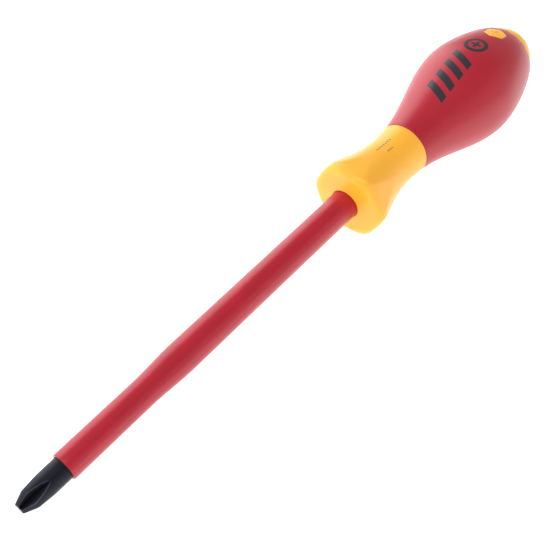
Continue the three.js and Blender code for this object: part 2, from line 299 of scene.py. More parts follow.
def shown(data, material, crease):
    """A new object that shows mesh data, smooth except at edges sharper than the crease."""
    for polygon in data.polygons:
        polygon.use_smooth = True
    data.set_sharp_from_angle(angle=crease)
    data.materials.clear()
    data.materials.append(material)
    piece = bpy.data.objects.new(data.name, data)
    bpy.context.scene.collection.objects.link(piece)
    return piece


SHARP = radians(38)


def finish(data, material, node, crease=SHARP):
    """Shows a piece in place of its CAD node, on the tool's only body."""
    piece = shown(data, material, crease)
    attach(piece, "root")
    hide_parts(node)
    return piece


def add(tree, kind, feeds=(), **settings):
    """Adds a node with its settings. Each feed is a value, an output, or a node, which gives its first."""
    made = tree.nodes.new(kind)
    for name, value in settings.items():
        setattr(made, name, value)
    for key, feed in feeds.items() if isinstance(feeds, dict) else enumerate(feeds):
        if isinstance(feed, bpy.types.Node):
            feed = feed.outputs[0]
        if isinstance(feed, bpy.types.NodeSocket):
            tree.links.new(feed, made.inputs[key])
        else:
            made.inputs[key].default_value = feed
    return made


# ---- Materials ----

MIX_FIRST, MIX_SECOND, MIX_RESULT = 6, 7, 2  # the Mix node's sockets for colours


def new_material(name):
    material = bpy.data.materials.new(name)
    material.use_nodes = True
    material.node_tree.nodes.clear()
    return material, material.node_tree


def show_surface(tree, feeds):
    surface = add(tree, "ShaderNodeBsdfPrincipled", feeds)
    add(tree, "ShaderNodeOutputMaterial", {"Surface": surface})


def in_tool(tree):
    """Object coordinates turned into the tool's own frame, in millimetres."""
    back = Matrix.Rotation(LEAN, 3, "Y")
    feeds = {
        "Vector": add(tree, "ShaderNodeTexCoord").outputs["Object"],
        "Location": -(back @ TIP_END) / MM,
        "Rotation": (0, LEAN, 0),
        "Scale": (1 / MM, 1 / MM, 1 / MM),
    }
    return add(tree, "ShaderNodeMapping", feeds)


def grain(tree, place, size, detail=2.0, stretch=(1, 1, 1)):
    """Noise from 0 to 1 whose spots are about a size in millimetres, longer where the stretch is more."""
    scale = tuple(1 / (size * s) for s in stretch)
    spread = add(tree, "ShaderNodeMapping", {"Vector": place, "Scale": scale})
    feeds = {"Vector": spread, "Scale": 1.0, "Detail": detail}
    return add(tree, "ShaderNodeTexNoise", feeds)


def drifting(tree, share, rgb, darkest, lightest):
    """A colour that drifts between a darker and a lighter shade of itself."""

    def shade(amount):
        return (*(min(1.0, c * amount) for c in rgb), 1)

    feeds = {"Factor": share, MIX_FIRST: shade(darkest), MIX_SECOND: shade(lightest)}
    return add(tree, "ShaderNodeMix", feeds, data_type="RGBA").outputs[MIX_RESULT]


def coated(tree, base, share, rgb):
    """A base colour with a second one over it, as far as a share of it."""
    feeds = {"Factor": share, MIX_FIRST: base, MIX_SECOND: (*rgb, 1)}
    return add(tree, "ShaderNodeMix", feeds, data_type="RGBA").outputs[MIX_RESULT]


def rough_skin(tree, relief, height, smoothest, roughest, under=None):
    """Feeds for a skin with a fine relief of a height in metres, duller where the relief is higher."""
    dullness = {"Value": relief, "To Min": smoothest, "To Max": roughest}
    lift = {"Height": relief, "Distance": height, "Strength": 1.0}
    if under:
        lift["Normal"] = under
    return {
        "Roughness": add(tree, "ShaderNodeMapRange", dullness),
        "Normal": add(tree, "ShaderNodeBump", lift),
    }


def blackened_steel(finishes):
    """Alloy tool steel, ground and blackened: near black with a blue cast and a dull shine, crossed by
    fine grinding marks, and rubbed a little paler along the edges that turn the screw."""
    material, tree = new_material("Tool_steel_ground_and_blackened")
    place = in_tool(tree)
    # Grinding marks 0.05 mm apart are drawn 0.25 mm apart, so that they show.
    marks = grain(tree, place, 0.25, 3.0, stretch=(1, 14, 14))
    patches = grain(tree, place, 3.0)
    oxide = drifting(tree, patches, finishes.steel, 0.75, 1.3)
    worn = add(tree, "ShaderNodeAttribute", attribute_name="worn").outputs["Fac"]
    rubbed = add(tree, "ShaderNodeMath", (worn, marks), operation="MULTIPLY")
    show_surface(tree, {
        "Base Color": coated(tree, oxide, rubbed, finishes.worn_steel),
        "Metallic": 0.9,
        **rough_skin(tree, marks, 0.012 * MM, 0.3, 0.52),
    })
    return material


def sleeve_insulation(finishes):
    """Red polypropylene injected round the bar: a satin skin, slightly wavy along its length, where the
    thin wall follows the flow of the melt, with a soft bright edge against the light.
    The colour also drifts lighter and darker with the waves, as a painted highlight and painted shade of
    the wavy skin."""
    material, tree = new_material("Polypropylene_moulded_red")
    place = in_tool(tree)
    waves_with_painted_light = grain(tree, place, 5.0, 2.0, stretch=(2.2, 1, 1))
    # Spark-eroded grain of 0.1 mm is drawn at 0.4 mm, so that it shows.
    fine = grain(tree, place, 0.4)
    swells = add(tree, "ShaderNodeBump", {"Height": waves_with_painted_light, "Distance": 0.12 * MM, "Strength": 1.0})
    show_surface(tree, {
        # The colour follows the waves as a painted highlight and painted shade, on top of the bump that
        # makes the real swells.
        "Base Color": drifting(tree, waves_with_painted_light, finishes.sleeve, 0.86, 1.16),
        **rough_skin(tree, fine, 0.01 * MM, 0.28, 0.38, swells),
        "IOR": 1.49,
        "Sheen Weight": 0.12,
        "Sheen Roughness": 0.35,
        "Sheen Tint": (1, 0.85, 0.88, 1),
    })
    return material


def round_the_tool(tree, place):
    """The place along the axis and the arc from the top, both in millimetres."""
    axes = add(tree, "ShaderNodeSeparateXYZ", (place,)).outputs
    side = add(tree, "ShaderNodeMath", (axes["Y"], -1.0), operation="MULTIPLY")
    angle = add(tree, "ShaderNodeMath", (side, axes["Z"]), operation="ARCTAN2")
    across = add(tree, "ShaderNodeCombineXYZ", (0.0, axes["Y"], axes["Z"]))
    radius = add(tree, "ShaderNodeVectorMath", (across,), operation="LENGTH").outputs["Value"]
    return axes["X"], add(tree, "ShaderNodeMath", (angle, radius), operation="MULTIPLY")


def in_box(tree, along, across):
    """1 inside a rectangle. Each direction is given as a value, its middle and its reach."""
    sides = [add(tree, "ShaderNodeMath", side, operation="COMPARE") for side in (along, across)]
    return add(tree, "ShaderNodeMath", sides, operation="MULTIPLY")


PRINT_START = 206.5  # all sizes of the print are in millimetres
PRINT_HEIGHT = 9.6
BAR_COUNT = 4
BAR_PITCH = 5.5
BAR_SHARE = 0.58  # of the pitch
BAR_SLANT = 0.42
RING_PLACE = 234.4
RING_RADIUS = 3.9
RING_WIDTH = 1.7
CROSS_REACH = 2.2
CROSS_WIDTH = 1.3
PRINT_ROUGHNESS = -0.08  # added to the roughness where ink lies


def bulb_print(tree, place):
    """1 where ink lies: a row of slanted bars, and a ring round a cross, the sign of the tip's shape."""
    along, arc_place = round_the_tool(tree, place)
    slant = add(tree, "ShaderNodeMath", (arc_place, BAR_SLANT, along), operation="MULTIPLY_ADD")
    step = add(tree, "ShaderNodeMath", (slant, PRINT_START), operation="SUBTRACT")
    phase = add(tree, "ShaderNodeMath", (step, BAR_PITCH), operation="FLOORED_MODULO")
    bar = add(tree, "ShaderNodeMath", (phase, BAR_PITCH * BAR_SHARE), operation="LESS_THAN")
    row_reach = BAR_COUNT * BAR_PITCH / 2
    row = in_box(tree, (step, row_reach, row_reach), (arc_place, 0.0, PRINT_HEIGHT / 2))
    bars = add(tree, "ShaderNodeMath", (bar, row), operation="MULTIPLY")
    off = add(tree, "ShaderNodeMath", (along, RING_PLACE), operation="SUBTRACT")
    spot = add(tree, "ShaderNodeCombineXYZ", (off, arc_place, 0.0))
    distance = add(tree, "ShaderNodeVectorMath", (spot,), operation="LENGTH").outputs["Value"]
    ring = add(tree, "ShaderNodeMath", (distance, RING_RADIUS, RING_WIDTH / 2), operation="COMPARE")
    ink = add(tree, "ShaderNodeMath", (bars, ring))
    for first, second in ((off, arc_place), (arc_place, off)):
        arm = in_box(tree, (first, 0.0, CROSS_REACH), (second, 0.0, CROSS_WIDTH / 2))
        ink = add(tree, "ShaderNodeMath", (ink, arm), operation="MAXIMUM")
    return ink


def soft_grip(finishes):
    """Thermoplastic elastomer moulded over the core: a deep red soft skin with a fine matt grain that
    pales towards its outline, and dense black pad printing that is a little smoother."""
    material, tree = new_material("Elastomer_overmoulded_red")
    place = in_tool(tree)
    ink = bulb_print(tree, place)
    patches = grain(tree, place, 9.0)
    # Spark-eroded grain of 0.15 mm is drawn at 0.5 mm, so that it shows.
    fine = grain(tree, place, 0.5)
    rubber = drifting(tree, patches, finishes.grip, 0.92, 1.08)
    skin = rough_skin(tree, fine, 0.012 * MM, 0.33, 0.43)
    printed = (ink, PRINT_ROUGHNESS, skin["Roughness"])
    skin["Roughness"] = add(tree, "ShaderNodeMath", printed, operation="MULTIPLY_ADD")
    show_surface(tree, {
        "Base Color": coated(tree, rubber, ink, finishes.ink),
        **skin,
        "IOR": 1.5,
        "Sheen Weight": 0.15,
        "Sheen Roughness": 0.3,
        "Sheen Tint": (1, 0.82, 0.87, 1),
    })
    return material


# The rows of dashes, in millimetres: middle, reach along the axis, arc from the top and half height.
MARK_ROWS = ((175.8, 4.3, -1.0, 0.42), (175.6, 1.6, 2.2, 0.36))
MARK_PITCH = 1.3
MARK_SHARE = 0.62  # of the pitch


def yellow_plastic(finishes, marked=False):
    """Polyamide moulded in a polished tool: warm yellow with a soft gloss, and light that soaks a
    little way in, so that thin edges glow. The neck's copy has two short rows of faint dashes."""
    material, tree = new_material("Polyamide_moulded_yellow" + ("_printed" if marked else ""))
    place = in_tool(tree)
    clouds = grain(tree, place, 8.0)
    # The skin's ripple of 0.2 mm is drawn at 0.6 mm, so that it shows.
    fine = grain(tree, place, 0.6)
    base = drifting(tree, clouds, finishes.yellow, 0.97, 1.03)
    if marked:
        along, arc_place = round_the_tool(tree, place)
        phase = add(tree, "ShaderNodeMath", (along, MARK_PITCH), operation="FLOORED_MODULO")
        dash = add(tree, "ShaderNodeMath", (phase, MARK_PITCH * MARK_SHARE), operation="LESS_THAN")
        for middle, reach, row_arc, half in MARK_ROWS:
            row = in_box(tree, (along, middle, reach), (arc_place, row_arc, half))
            mark = add(tree, "ShaderNodeMath", (row, dash), operation="MULTIPLY")
            base = coated(tree, base, mark, finishes.faint_ink)
    show_surface(tree, {
        "Base Color": base,
        **rough_skin(tree, fine, 0.006 * MM, 0.34, 0.42),
        "IOR": 1.53,
        "Subsurface Weight": 0.25,
        "Subsurface Radius": (1.0, 0.5, 0.12),
        "Subsurface Scale": 1.5 * MM,
        "Sheen Weight": 0.2,
        "Sheen Roughness": 0.3,
        "Sheen Tint": (1, 0.95, 0.75, 1),
    })
    return material


def core_plastic(finishes):
    """Glass-filled polyamide of the hidden core: grey, dull and slightly cloudy, with short fibres."""
    material, tree = new_material("Polyamide_glass_filled_grey")
    place = in_tool(tree)
    fibres = grain(tree, place, 0.5, 3.0, stretch=(5, 1, 1))
    show_surface(tree, {
        "Base Color": drifting(tree, fibres, finishes.core, 0.85, 1.12),
        **rough_skin(tree, fibres, 0.02 * MM, 0.5, 0.65),
        "IOR": 1.53,
    })
    return material


# ---- Blade ----

STEADY_CLIMB = 0.35  # share of a flute root's climb that is even, while the rest is left for its run-out
RUN_OUT_POWER = 2.6
TIP_STEP = 0.2 * MM  # between rings of the ground tip
WALL_SHARES = (0, 0.3, 0.6, 0.93)  # columns over half a flute, from its root towards its edge
LAND_SHARES = (0, 0.05, 0.28, 0.5, 0.72, 0.95)  # columns over the land between two flutes
LEAST_FLUTE = radians(7)  # columns keep this much of a flute's room behind its run-out
FLANK_SOFTNESS = 0.25 * MM  # of the edge between the flanks and the full diameter
END_ROUNDING = 0.3 * MM  # along the axis, at both ends of the bar
BLUNT_DROP = 0.25 * MM  # what the rounding takes off the radius of the blunt end
WING_STEP = 0.05 * MM  # half the length over which the wings rise out of the bar


def root_height(sizes, x):
    """How far from the axis the root of a flute lies. It climbs slowly and then runs out in a curve."""
    share = min(x / sizes.flute_length, 1)
    climb = STEADY_CLIMB * share + (1 - STEADY_CLIMB) * share**RUN_OUT_POWER
    return sizes.flute_root + (sizes.diameter / 2 - sizes.flute_root) * climb


def bar_radius(sizes, x):
    """The bar's outside: a rounded blunt end, the flanks and the full diameter."""
    flank = sizes.end_diameter / 2 + x * tan(sizes.flank_angle)
    blunt = max(1 - x / END_ROUNDING, 0) ** 2 * BLUNT_DROP
    end = max(1 - (BAR_END - x) / END_ROUNDING, 0) * END_ROUNDING
    return smooth_lower(flank, sizes.diameter / 2, FLANK_SOFTNESS) - blunt - end


def bar_ring(sizes, x):
    """One ring of the bar, with columns that follow the edges of the flutes, and how worn each is."""
    outside = bar_radius(sizes, x)
    half = sizes.flute_angle / 2
    root = root_height(sizes, x)
    edge = half - asin(min(root * sin(half) / outside, 1))
    room = max(edge, LEAST_FLUTE)
    pitch = 2 * pi / sizes.flutes
    offsets = [-room * s for s in reversed(WALL_SHARES[1:])] + [room * s for s in WALL_SHARES]
    offsets += [room + (pitch - 2 * room) * s for s in LAND_SHARES] + [pitch - room]
    wing_end = BAR_END - sizes.wing_setback
    winged = wing_end - sizes.wing_length < x < wing_end
    ring, wear = [], []
    for flute in range(sizes.flutes):
        for offset in offsets:
            angle = sizes.flute_turn + flute * pitch + offset
            folded = min(offset, pitch - offset) if offset > room else abs(offset)
            radius = outside
            if folded < edge and x < sizes.flute_length:
                radius = min(outside, root * tan(half) / (tan(half) * cos(folded) - sin(folded)))
            if winged:
                side = sizes.wing_span / 2 / max(abs(sin(angle)), 0.01)
                top = sizes.wing_thickness / 2 / max(abs(cos(angle)), 0.01)
                radius = max(radius, min(side, top))
            ring.append(on_ring(x, radius, angle))
            on_edge = abs(folded - edge) < 1e-6 and x < sizes.flute_length
            wear.append(1.0 if on_edge else 0.0)
    return ring, wear


def bar_stations(sizes):
    """Places of the rings along the bar: close together over the tip, and few behind it."""
    count = int((sizes.flute_length + 1 * MM) / TIP_STEP)
    wing_end = BAR_END - sizes.wing_setback
    wing_start = wing_end - sizes.wing_length
    tip = [0, TIP_STEP / 2] + [i * TIP_STEP for i in range(1, count)]
    plain = [SLEEVE_START, SLEEVE_START * 2, BORDER * 0.5, BORDER * 0.75, BORDER]
    wings = [end + side * WING_STEP for end in (wing_start, wing_end) for side in (-1, 1)]
    return tip + plain + wings + [BAR_END - END_ROUNDING, BAR_END]


def build_bar(sizes, material):
    stations = bar_stations(sizes)
    rings, wear = zip(*(bar_ring(sizes, x) for x in stations))
    data = mesh_data(loft([[Vector((0, 0, 0))], *rings, [Vector((BAR_END, 0, 0))]]), "ground_bar")
    worn = data.attributes.new("worn", "FLOAT", "POINT")
    worn.data.foreach_set("value", [0.0, *(w for ring in wear for w in ring), 0.0])
    return finish(data, material, "blade", radians(24))


# ---- Sleeve ----


def build_sleeve(sizes, blade, material):
    """A tube with a rounded nose, drawn in to the bar at its front end."""
    bar = blade.diameter / 2
    nose = sizes.nose_diameter / 2
    flare_start = SLEEVE_START + sizes.nose_length
    flare_end = flare_start + sizes.flare_length
    pull = Vector((sizes.flare_length / 3, 0))
    start, end = Vector((flare_start, nose)), Vector((flare_end, SLEEVE_RADIUS))
    rounding = sizes.edge_round
    bevel = 0.12 * MM
    tight_end = SLEEVE_START + 1 * MM
    nose_steps = 12
    outline = [
        (SLEEVE_START + bevel, bar + JOIN_GAP),
        (SLEEVE_START, bar + JOIN_GAP + bevel),
        *arc(SLEEVE_START + rounding, nose - rounding, rounding, rounding, 180, 90, 6),
        *[(SLEEVE_START + sizes.nose_length * i / nose_steps, nose) for i in range(1, nose_steps)],
        *line((start, start + pull, end - pull, end), 16),
        *[(flare_end + (SLEEVE_END - flare_end) * i / 24, SLEEVE_RADIUS) for i in range(1, 25)],
        (SLEEVE_END, bar + CLEARANCE),
        (tight_end + 0.5 * MM, bar + CLEARANCE),
        (tight_end, bar + JOIN_GAP),
    ]
    data = mesh_data(loft(turned(outline), closed=True), "sleeve_tube")
    return finish(data, material, "blade_sleeve")


# ---- Guard and neck ----

HUB_LENGTH = 8 * MM  # how far behind the guard's face its bore fits the sleeve
EDGE_BLEND = 2.5 * MM  # behind the widest ring, over which the front softness gives way
ARCH_RISE = 0.3  # how steeply a flat's limit climbs clear of the skin past its arch
GUARD_COLUMNS = 360


def handle_curves(sizes):
    """The curves of the handle's outside: rim to waist, waist to bulb, and bulb to mouth."""
    rim = GUARD_START + sizes.face_crown + sizes.rim_place
    waist = BORDER - sizes.waist_to_border
    bulb = waist + sizes.swell_length
    waist_radius = sizes.waist_diameter / 2
    mouth_radius = CAP_RADIUS + CLEARANCE + sizes.mouth_lip + sizes.mouth_round
    pull = (waist - rim) / 3
    run = (
        Vector((rim, RIM_RADIUS)),
        Vector((rim + pull, RIM_RADIUS - pull * tan(sizes.flare_angle))),
        Vector((waist - 1.2 * pull, waist_radius)),
        Vector((waist, waist_radius)),
    )
    swell = (
        Vector((waist, waist_radius)),
        Vector((waist + 0.41 * sizes.swell_length, waist_radius)),
        Vector((bulb - 0.3 * sizes.swell_length, BULB_RADIUS)),
        Vector((bulb, BULB_RADIUS)),
    )
    drop = MOUTH - bulb
    fall = (
        Vector((bulb, BULB_RADIUS)),
        Vector((bulb + 0.3 * drop, BULB_RADIUS)),
        Vector((MOUTH - 0.2 * drop, mouth_radius + 0.2 * drop * tan(sizes.mouth_slope))),
        Vector((MOUTH, mouth_radius)),
    )
    return run, swell, fall


def collar_outline(sizes):
    """The flange as if it were round: a domed face, a rounded edge, the run, the neck and the bores."""
    run, swell, _ = handle_curves(sizes)
    rim, waist = run[0].x, run[3].x
    face = GUARD_START + sizes.face_crown
    bevel = 0.25 * MM
    hub = SLEEVE_RADIUS + JOIN_GAP
    dome_start = hub + bevel
    dome_end = RIM_RADIUS - sizes.guard_edge + bevel
    dome = [i / 12 for i in range(12)]
    lip = 0.3 * MM
    neck_end = radius_at(swell, BORDER)
    core_start = face + HUB_LENGTH
    neck = [waist + (BORDER - lip - waist) * i / 14 for i in range(1, 14)]
    return [
        (GUARD_START + bevel, hub),
        *[(face - sizes.face_crown * (1 - s) ** 2, dome_start + (dome_end - dome_start) * s) for s in dome],
        *arc(rim, dome_end, sizes.rim_place, RIM_RADIUS - dome_end, 180, 90, 26),
        *line(run, 60)[1:],
        *[(x, radius_at(swell, x)) for x in neck],
        *arc(BORDER - lip, neck_end - lip, lip, lip, 90, 0, 5),
        (BORDER, sizes.core_diameter / 2),
        (core_start, sizes.core_diameter / 2),
        (core_start, hub),
    ]


def flats_tree(material, names):
    """Geometry nodes that press evenly spaced flats into a turned flange, with an input for each name.

    Ahead of the rim a flat follows its draft, and behind the rim it falls to the top of its arch. Past
    the arch its limit climbs clear of the skin. Each point keeps the lower of its own radius and that of
    the nearest flat, with the edge between the two softened, most of all at the front.
    """
    tree = bpy.data.node_groups.new("Guard flats", "GeometryNodeTree")
    tree.interface.new_socket("Geometry", in_out="INPUT", socket_type="NodeSocketGeometry")
    for name in names:
        tree.interface.new_socket(name, in_out="INPUT", socket_type="NodeSocketFloat")
    tree.interface.new_socket("Geometry", in_out="OUTPUT", socket_type="NodeSocketGeometry")
    given = add(tree, "NodeGroupInput").outputs
    place = add(tree, "GeometryNodeInputPosition")
    axes = add(tree, "ShaderNodeSeparateXYZ", (place,)).outputs
    across = add(tree, "ShaderNodeCombineXYZ", (0.0, axes["Y"], axes["Z"]))
    radius = add(tree, "ShaderNodeVectorMath", (across,), operation="LENGTH").outputs["Value"]
    angle = add(tree, "ShaderNodeMath", (axes["Y"], axes["Z"]), operation="ARCTAN2")

    sector = add(tree, "ShaderNodeMath", (2 * pi, given["Sides"]), operation="DIVIDE")
    half_sector = add(tree, "ShaderNodeMath", (sector, 2.0), operation="DIVIDE")
    shifted = add(tree, "ShaderNodeMath", (angle, half_sector))
    wrapped = add(tree, "ShaderNodeMath", (shifted, sector), operation="FLOORED_MODULO")
    folded = add(tree, "ShaderNodeMath", (wrapped, half_sector), operation="SUBTRACT")
    slant = add(tree, "ShaderNodeMath", (folded,), operation="COSINE")

    past_rim = add(tree, "ShaderNodeMath", (axes["X"], given["Rim place"]), operation="SUBTRACT")
    past_arch = add(tree, "ShaderNodeMath", (axes["X"], given["Arch top"]), operation="SUBTRACT")
    multiply_add = {"operation": "MULTIPLY_ADD"}
    ahead = add(tree, "ShaderNodeMath", (past_rim, given["Draft"], given["Flat height"]), **multiply_add)
    behind = add(tree, "ShaderNodeMath", (past_rim, given["Fall"], given["Flat height"]), **multiply_add)
    clear = add(tree, "ShaderNodeMath", (past_arch, given["Rise"], radius), **multiply_add)
    arch = add(tree, "ShaderNodeMath", (behind, clear), operation="MAXIMUM")
    height = add(tree, "ShaderNodeMath", (ahead, arch, given["Softness"]), operation="SMOOTH_MIN")
    limit = add(tree, "ShaderNodeMath", (height, slant), operation="DIVIDE")
    rear = add(tree, "ShaderNodeMath", (given["Rim place"], given["Edge blend"]))
    softness = add(tree, "ShaderNodeMapRange", {
        "Value": axes["X"],
        "From Min": given["Rim place"],
        "From Max": rear,
        "To Min": given["Front softness"],
        "To Max": given["Softness"],
    }, interpolation_type="SMOOTHSTEP")
    kept = add(tree, "ShaderNodeMath", (radius, limit, softness), operation="SMOOTH_MIN")

    share = add(tree, "ShaderNodeMath", (kept, radius), operation="DIVIDE")
    pressed = add(tree, "ShaderNodeCombineXYZ", (1.0, share, share))
    moved = add(tree, "ShaderNodeVectorMath", (place, pressed), operation="MULTIPLY")
    feeds = {"Geometry": given["Geometry"], "Position": moved}
    skin = add(tree, "GeometryNodeSetPosition", feeds)
    real = add(tree, "GeometryNodeRealizeInstances", {"Geometry": skin})
    painted = add(tree, "GeometryNodeSetMaterial", {"Geometry": real, "Material": material})
    add(tree, "NodeGroupOutput", {"Geometry": painted})
    return tree


def shaped_by(data, tree, values):
    """Mesh data after a tree has worked on it, with each named input of the tree set."""
    carrier = bpy.data.objects.new("carrier", data)
    bpy.context.scene.collection.objects.link(carrier)
    modifier = carrier.modifiers.new("Shape", "NODES")
    modifier.node_group = tree
    for item in tree.interface.items_tree:
        if item.item_type == "SOCKET" and item.name in values:
            modifier[item.identifier] = float(values[item.name])
    evaluated = carrier.evaluated_get(bpy.context.evaluated_depsgraph_get())
    plain = bpy.data.meshes.new_from_object(evaluated)
    carrier.modifiers.remove(modifier)
    bpy.data.objects.remove(carrier)
    return plain


def build_guard(sizes, material):
    run = handle_curves(sizes)[0]
    rim = run[0].x
    arch_top = rim + sizes.flat_reach
    height = sizes.across_flats / 2
    values = {
        "Sides": sizes.guard_sides,
        "Flat height": height,
        "Rim place": rim,
        "Draft": tan(sizes.flat_draft),
        "Fall": (radius_at(run, arch_top) - height) / sizes.flat_reach,
        "Arch top": arch_top,
        "Rise": ARCH_RISE,
        "Softness": sizes.flat_softness,
        "Front softness": sizes.front_softness,
        "Edge blend": EDGE_BLEND,
    }
    flange = loft(turned(collar_outline(sizes), GUARD_COLUMNS), closed=True)
    blank = mesh_data(flange, "guard_and_neck", laid=False)
    data = shaped_by(blank, flats_tree(material, values), values)
    data.transform(LAY_DOWN)
    data.name = "guard_and_neck"
    return finish(data, material, "guard_collar")


# ---- Grip, window and inlay ----

CORNER_SHARPNESS = 34  # of the hexagon: more gives sharper corners
PATCH_COLUMNS = 12  # columns each side of the top that the window's patch takes
PATCH_ROWS = 24
PATCH_MARGIN = (1.2 * MM, 1.4 * MM)  # ahead of the window and behind it
POCKET_DEPTH = 2.6 * MM


class Bulb:
    """The outside of the bulb, and the flat coordinates of its window: forwards and across."""

    def __init__(self, sizes):
        _, self.swell, self.fall = handle_curves(sizes)
        self.window = MOUTH - sizes.window_margin - sizes.window_across / 2
        ahead, behind = self.radius(self.window - MM), self.radius(self.window + MM)
        self.slope = atan2(ahead - behind, 2 * MM)
        self.normal = Vector((sin(self.slope), 0, cos(self.slope)))

    def radius(self, x):
        return radius_at(self.swell if x < self.fall[0].x else self.fall, x)

    def at_window(self, forwards, across, depth=0.0):
        """A point over the window, some depth below the skin."""
        x = self.window + forwards * cos(self.slope)
        radius = self.radius(x)
        return Vector((x, across, sqrt(radius**2 - across**2))) - self.normal * depth


def hexagon_reach(angle, across_corners, inset):
    """From the middle of a hexagon to its side, with softened corners, one of them straight ahead."""
    side = across_corners / 2 * cos(pi / 6) - inset
    faces = [max(cos(angle - pi / 6 - i * pi / 3), 0) ** CORNER_SHARPNESS for i in range(6)]
    return side / sum(faces) ** (1 / CORNER_SHARPNESS)


def cross_reach(angle, reach, half):
    """From the middle of a cross to its outline."""
    along, aside = sorted((abs(cos(angle)), abs(sin(angle))), reverse=True)
    return min(reach / along, half / max(aside, 1e-9))


def grip_outline(sizes, bulb):
    """The grip's closed outline, and the first of its rows under the window's patch."""
    rounding = 0.4 * MM
    start = BORDER + 0.08 * MM
    bulb_place = bulb.fall[0].x
    reach = sizes.window_across / 2 * cos(bulb.slope)
    patch_start = bulb.window - reach - PATCH_MARGIN[0]
    patch_end = bulb.window + reach + PATCH_MARGIN[1]
    edge = MOUTH - sizes.mouth_round
    edge_radius = bulb.radius(edge)
    first = start + rounding
    stations = [first + (bulb_place - first) * i / 60 for i in range(1, 60)]
    stations += [bulb_place + (patch_start - bulb_place) * i / 14 for i in range(14)]
    patch_row = len(stations) + 8
    stations += [patch_start + (patch_end - patch_start) * i / PATCH_ROWS for i in range(PATCH_ROWS + 1)]
    stations += [(patch_end + edge) / 2]
    bore = sizes.core_diameter / 2 + CLEARANCE
    plug = MOUTH - sizes.plug_length - CLEARANCE
    inner = [plug - (plug - first) * i / 30 for i in range(31)]
    start_radius = bulb.radius(first)
    outline = [
        (start, bore),
        *arc(first, start_radius - rounding, rounding, rounding, 180, 90, 6),
        *[(x, bulb.radius(x)) for x in stations],
        *arc(edge, edge_radius - sizes.mouth_round, sizes.mouth_round, sizes.mouth_round, 62, 0, 8),
        (MOUTH, CAP_RADIUS + JOIN_GAP + 0.3 * MM),
        (MOUTH - 0.3 * MM, CAP_RADIUS + JOIN_GAP),
        (plug, CAP_RADIUS + JOIN_GAP),
        *[(x, max(bore, bulb.radius(x) - sizes.wall)) for x in inner],
    ]
    return outline, patch_row


def patch_edge(rows, first):
    """The vertices round the window's patch, in order, and the rows of it."""
    last = first + PATCH_ROWS
    front = [rows[first][j] for j in range(-PATCH_COLUMNS, PATCH_COLUMNS)]
    left = [rows[k][PATCH_COLUMNS] for k in range(first, last)]
    back = [rows[last][j] for j in range(PATCH_COLUMNS, -PATCH_COLUMNS, -1)]
    right = [rows[k][-PATCH_COLUMNS] for k in range(last, first, -1)]
    return front + left + back + right


def window_rings(sizes, bulb, edge):
    """Rings from the patch's edge in to the window, over its rounded rim, and down its wall."""
    rounding = 0.35 * MM
    outer = [((v.co.x - bulb.window) / cos(bulb.slope), v.co.y) for v in edge]
    turns = [atan2(across, forwards) for forwards, across in outer]
    bends = [radians(degrees) for degrees in (20, 40, 60, 80)]

    def ring(inset, depth, share=1.0):
        made = []
        for (forwards, across), angle in zip(outer, turns):
            reach = hexagon_reach(angle, sizes.window_across, inset)
            inner = (reach * cos(angle), reach * sin(angle))
            place = [o + (i - o) * share for o, i in zip((forwards, across), inner)]
            made.append(bulb.at_window(*place, depth))
        return made

    rings = [ring(-rounding, 0, i / 9) for i in range(1, 10)]
    rings += [ring(-rounding * (1 - sin(bend)), rounding * (1 - cos(bend))) for bend in bends]
    rings += [ring(0, rounding), ring(0, POCKET_DEPTH)]
    return rings + [[bulb.at_window(0, 0, POCKET_DEPTH)]]


def build_grip(sizes, material):
    """The bulb, with its rounded mouth, and a pocket for the inlay cut into a patch of its grid."""
    bulb = Bulb(sizes)
    outline, patch_row = grip_outline(sizes, bulb)
    mesh = bmesh.new()
    rows = [[mesh.verts.new(place) for place in ring] for ring in turned(outline)]

    def off_patch(i):
        return PATCH_COLUMNS <= i < ROUND_COLUMNS - PATCH_COLUMNS

    for row, (near, far) in enumerate(zip(rows, rows[1:] + rows[:1])):
        in_patch = patch_row <= row < patch_row + PATCH_ROWS
        bridge(mesh, near, far, off_patch if in_patch else lambda i: True)
    near = patch_edge(rows, patch_row)
    for ring in window_rings(sizes, bulb, near):
        far = [mesh.verts.new(place) for place in ring]
        bridge(mesh, near, far)
        near = far
    bmesh.ops.delete(mesh, geom=[v for v in mesh.verts if not v.link_faces], context="VERTS")
    bmesh.ops.recalc_face_normals(mesh, faces=mesh.faces)
    return finish(mesh_data(mesh, "bulb_grip"), material, "grip_shell")


